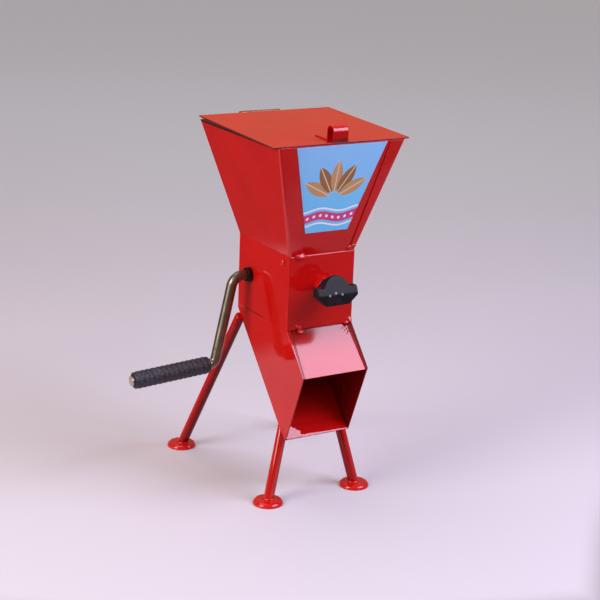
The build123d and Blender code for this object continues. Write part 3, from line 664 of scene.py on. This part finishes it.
sleeve = sleeve.node("GeometryNodeSetPosition", {}, {"Geometry": sleeve, "Position": spot})
sleeve = sleeve.node("GeometryNodeMergeByDistance", {}, {"Geometry": sleeve, "Distance": 0.000002})
close_tree(sleeve, rubber)
grip = grow("ribbed_grip", tree, grip_sizes, bpy.data.meshes.new("grip_seed"))
turn = spin_axis.to_track_quat("Z", "Y").to_matrix().to_4x4()
grip.data.transform(Matrix.Translation(grip_start) @ turn)
skin = bmesh.new()
skin.from_mesh(grip.data)
bmesh.ops.recalc_face_normals(skin, faces=skin.faces[:])
skin.to_mesh(grip.data)
skin.free()
fit(grip, "grip", "black_rubber", "crank_grip")


# The adjuster: a steel nut welded to the front panel and painted with it, and a 12 mm
# threaded steel screw through it that sets how wide the jaw opens.
nut = eased(whole("adjuster_nut"), "adjuster_nut_painted", 0.0012, enamel)
fit(nut, "housing", "red_enamel", "adjuster_nut")

screw_low, screw_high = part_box("adjusting_screw")
screw_z = (screw_low.z + screw_high.z) / 2
root, crest, plain_end = 0.0052, 0.0058, 0.012
skin = whole("adjusting_screw")
for vert in skin.verts:
    off = Vector((vert.co.x, 0, vert.co.z - screw_z))
    if off.length > crest:
        vert.co -= off * (1 - root / off.length)
core = place("screw_core", skin, bare_steel)
core.data.shade_smooth()
core.data.set_sharp_from_angle(angle=0.6)

thread_sizes = {"Length": 0.040, "Pitch": 0.00175, "Root": root, "Crest": 0.00066}
tree, given = new_tree("screw_thread", thread_sizes)
turns = given["Length"] / given["Pitch"]
inputs = {"Resolution": 36, "Rotations": turns, "Start Radius": given["Root"]}
inputs.update({"End Radius": given["Root"], "Height": given["Length"]})
path = turns.node("GeometryNodeCurveSpiral", {}, inputs)
path = path.node("GeometryNodeSetCurveNormal", {"mode": "Z_UP"}, {"Curve": path})
inputs = {"Resolution": 4, "Radius": given["Crest"]}
ridge = path.node("GeometryNodeCurvePrimitiveCircle", {}, inputs)
inputs = {"Curve": path, "Profile Curve": ridge, "Fill Caps": True}
close_tree(path.node("GeometryNodeCurveToMesh", {}, inputs), bare_steel)
thread = grow("screw_thread", tree, thread_sizes, bpy.data.meshes.new("thread_seed"))
lie = Matrix.Rotation(-math.pi / 2, 4, "X")
thread.data.transform(Matrix.Translation((0, screw_low.y + plain_end, screw_z)) @ lie)
fit(core, "adjuster", "bare_steel", "adjusting_screw")
fit(thread, "adjuster", "bare_steel")


# The knob: black moulded plastic with soft edges, a round hub with two finger wings that
# slopes back above a ridge with three pips, cast round the screw's head.
plastic, shader, here = new_finish("black_plastic", {"IOR": 1.49, "Specular IOR Level": 0.2})
grain = here.noise(1300.0, 2.0)
dust_and_shade = here.noise(140.0, 3.0).rise(0.45, 0.8)
tone = dust_and_shade.tint((0.006, 0.005, 0.007, 1), (0.015, 0.012, 0.017, 1))
pips = [(-0.0110, -0.0933, 0.2535), (-0.0030, -0.0924, 0.2556), (0.0050, -0.0933, 0.2535)]
pip_radius = 0.0014
x, y, z = here.axes()
# Each pip is painted pale grey as a highlight.
for over, out, up in pips:
    off = ((x - over) * (x - over) + (z - up) * (z - up)) ** 0.5
    highlight_patch = off.rise(pip_radius + 0.0003, pip_radius - 0.0006) * (out + 0.0004 - y).above(0.0)
    tone = highlight_patch.tint(tone, (0.30, 0.27, 0.33, 1))
feed(
    shader,
    {
        "Base Color": tone,
        "Roughness": 0.36 + grain * 0.1 + dust_and_shade * 0.1,
        "Normal": grain.bump(0.00006),
    },
)
knob = place("wing_knob", whole("adjusting_knob"), plastic)
cast = knob.modifiers.new("cast", "REMESH")
cast.mode = "VOXEL"
cast.voxel_size = 0.0005
cast.use_smooth_shade = True
soft = knob.modifiers.new("soft", "SMOOTH")
soft.factor = 0.5
soft.iterations = 26
settle(knob)
skin = bmesh.new()
skin.from_mesh(knob.data)
for spot in pips:
    stand = Matrix.Translation(spot)
    bmesh.ops.create_icosphere(skin, subdivisions=3, radius=pip_radius, matrix=stand)
skin.to_mesh(knob.data)
skin.free()
knob.data.shade_smooth()
fit(knob, "adjuster", "black_plastic", "adjusting_knob")


# The lid: one flat plate of the case's sheet with a bent strap welded on for a handle,
# both painted red like the case.
for node, radius in (("lid_panel", 0.0004), ("lid_pull", cut_edge)):
    fit(eased(whole(node), node + "_painted", radius, enamel), "lid", "red_enamel", node)


# The hinge: a small steel butt hinge left bare and gone brown, one leaf under the lid's
# rear edge and one on the hopper's rear panel, with rolled knuckles on a plain pin.
for node, body in (("hinge_moving_leaf", "lid"), ("hinge_fixed_leaf", "housing"), ("hinge_pin", "housing")):
    fit(eased(whole(node), node + "_steel", cut_edge, bare_steel), body, "bare_steel", node)


# The label: a thin gloss film stuck to the hopper's front, printed in light blue with a
# plain pattern of leaf blades, waves and dots in pink, white and tan.
film, shader, here = new_finish("label_film", {"IOR": 1.5})
label_low, label_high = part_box("front_label")
x, y, z = here.axes()
u = x * 1000.0
v = (z - label_low.z) * 1000.0
tall = (label_high.z - label_low.z) * 1000.0
print_tone = v.rise(0.0, tall).tint((0.115, 0.56, 0.94, 1), (0.24, 0.55, 0.94, 1))
print_tone = (here.noise(45.0, 2.0) * 0.12).tint(print_tone, (0.55, 0.72, 0.9, 1))
pitch = 8.0
sway = u.sum("SINE", u / pitch, 0.0) * 2.2
level = v + sway
white = (0.86, 0.88, 0.92, 1)
for low, high, ink in ((13.0, 23.0, (0.62, 0.055, 0.22, 1)), (25.5, 27.5, white), (8.0, 10.0, white)):
    band = level.rise(low - 0.15, low + 0.15) * level.rise(high + 0.15, high - 0.15)
    print_tone = band.tint(print_tone, ink)
dot_u = (u % pitch) - pitch / 2
dot_v = level - 18.0
dots = ((dot_u * dot_u + dot_v * dot_v) ** 0.5).rise(1.9, 1.5)
print_tone = dots.tint(print_tone, (0.88, 0.88, 0.9, 1))

# Each blade is the part that two discs share, at a lean about the foot of the fan.
fan_foot, blade_middle, disc_offset, disc_radius = 40.0, 25.0, 21.0, 28.1
for index, lean in enumerate((-62.0, -31.0, 0.0, 31.0, 62.0)):
    turn = math.radians(lean)
    across = (u * math.cos(turn)) - (v - fan_foot) * math.sin(turn)
    up = (u * math.sin(turn)) + (v - fan_foot) * math.cos(turn) - blade_middle
    side = abs(across) + disc_offset
    blade = ((side * side + up * up) ** 0.5).rise(disc_radius + 0.2, disc_radius - 0.2)
    ink = (0.30, 0.135, 0.055, 1) if index % 2 else (0.52, 0.30, 0.14, 1)
    print_tone = blade.tint(print_tone, ink)
    vein = blade * abs(across).rise(0.8, 0.4)
    print_tone = vein.tint(print_tone, (0.74, 0.60, 0.42, 1))
bubble = here.noise(60.0, 2.0)
feed(
    shader,
    {
        "Base Color": print_tone,
        "Roughness": 0.16 + bubble * 0.06,
        "Normal": bubble.bump(0.0003),
    },
)
label = eased(whole("front_label"), "front_label_film", 0.00005, film)
fit(label, "housing", "label", "front_label")


# The stage: a wide pale floor with soft brown parts outside the picture, left and in front,
# for the glossy panels to mirror, a warm plain room tone, five soft lamps and the camera at
# the photograph's angle. Far off, the floor is seen a little paler than the lamps make it.
ground, shader, here = new_finish("studio_floor", {"IOR": 1.45, "Emission Strength": 1.0})
pale, far_pale, brown = (0.60, 0.56, 0.60, 1), (0.76, 0.78, 0.82, 1), (0.105, 0.064, 0.053, 1)
patch_deep, patch_wide = 0.33, 0.80
deep = (here.along((0.41, 0.905, 0)) + 0.02) / patch_deep
wide = here.along((0.905, -0.41, 0)) / patch_wide
out = (deep * deep + wide * wide) ** 0.5
view_reach, view_spread = 1.653, 0.21
ahead = here.along((0.5155, 0.857, 0)) + view_reach
aside = here.along((0.857, -0.5155, 0)) / (ahead * view_spread)
front = ahead.rise(1.70, 1.50)
dark = out.rise(0.86, 1.12) * aside.rise(-0.99, -1.10).most(front)
dark = dark.most(aside.rise(1.02, 1.22) * front * 0.75)
tone = dark.tint(ahead.rise(1.9, 4.0).tint(pale, far_pale), brown)
seen = 0.0
for ray in ("Is Camera Ray", "Is Glossy Ray", "Is Transmission Ray"):
    seen = here.node("ShaderNodeLightPath", {}, {}, ray) + seen
glow = seen.least(1.0) * ahead.rise(1.7, 4.5) * (1.0 - dark)
weave = here.noise(700.0, 2.0)
feed(
    shader,
    {
        "Base Color": (weave * 0.12).tint(tone, (0.55, 0.50, 0.54, 1)),
        "Roughness": 0.55 + weave * 0.1,
        "Emission Color": glow.tint((0, 0, 0, 1), (0.10, 0.13, 0.14, 1)),
        "Normal": weave.bump(0.0001),
    },
)
skin = bmesh.new()
bmesh.ops.create_circle(skin, cap_ends=True, segments=96, radius=9.0)
floor = place("studio_floor", skin, ground)

world = bpy.data.worlds.new("room")
bpy.context.scene.world = world
world.use_nodes = True
sky = world.node_tree.nodes["Background"]
toward = Value(world.node_tree.nodes.new("ShaderNodeTexCoord").outputs["Generated"])
x, y, z = toward.axes()
tone = z.rise(0.2, 0.75).tint((0.80, 0.42, 0.26, 1), (0.62, 0.57, 0.62, 1))
feed(sky, {"Color": tone})
sky.inputs["Strength"].default_value = 0.55


def lamp(name, aim, toward, far, size, power, tone):
    """A soft lamp of that width and height, so far from its aim in the given direction."""
    light = bpy.data.lights.new(name, "AREA")
    light.shape = "RECTANGLE"
    light.size, light.size_y = size
    light.energy = power
    light.color = tone
    stand = bpy.data.objects.new(name, light)
    toward = Vector(toward).normalized()
    stand.location = Vector(aim) + toward * far
    stand.rotation_euler = toward.to_track_quat("Z", "Y").to_euler()
    bpy.context.scene.collection.objects.link(stand)


lamp("key_lamp", (0, -0.08, 0.19), (0.50, -0.55, 0.67), 1.5, (0.9, 0.9), 19.5, (0.88, 0.94, 1.26))
lamp("side_lamp", (0, 0, 0.2), (-0.866, -0.133, 0.474), 1.7, (0.8, 0.8), 20.0, (1.0, 0.96, 0.96))
lamp("glint_lamp", (0, -0.05, 0.2), (0.12, -0.64, 0.76), 1.7, (0.12, 0.12), 2.0, (1.0, 0.94, 1.0))
lamp("top_lamp", (0, 0, 0.2), (-0.15, 0.25, 0.95), 1.8, (1.2, 1.2), 9.0, (1.0, 0.96, 0.95))
lamp("strip_lamp", (0, 0, 0.05), (-0.985, -0.05, 0.125), 1.6, (1.0, 0.14), 3.0, (1.0, 0.97, 0.97))

turn_az, turn_el, turn_roll = -0.5416118, 0.2998130, 0.0393347
level = Vector((math.sin(turn_az), -math.cos(turn_az), 0))
back = level * math.cos(turn_el) + Vector((0, 0, math.sin(turn_el)))
right = Vector((math.cos(turn_az), math.sin(turn_az), 0))
up = back.cross(right)
across = right * math.cos(turn_roll) + up * math.sin(turn_roll)
upward = up * math.cos(turn_roll) - right * math.sin(turn_roll)
lens = bpy.data.cameras.new("camera")
lens.lens = 90.0
lens.sensor_width = 36.0
lens.clip_start = 0.05
camera = bpy.data.objects.new("camera", lens)
turned = Matrix((across, upward, back)).transposed().to_4x4()
camera.matrix_world = Matrix.Translation((-0.8466, -1.4198, 0.7319)) @ turned
bpy.context.scene.collection.objects.link(camera)
bpy.context.scene.camera = camera
bpy.context.scene.view_settings.view_transform = "Standard"
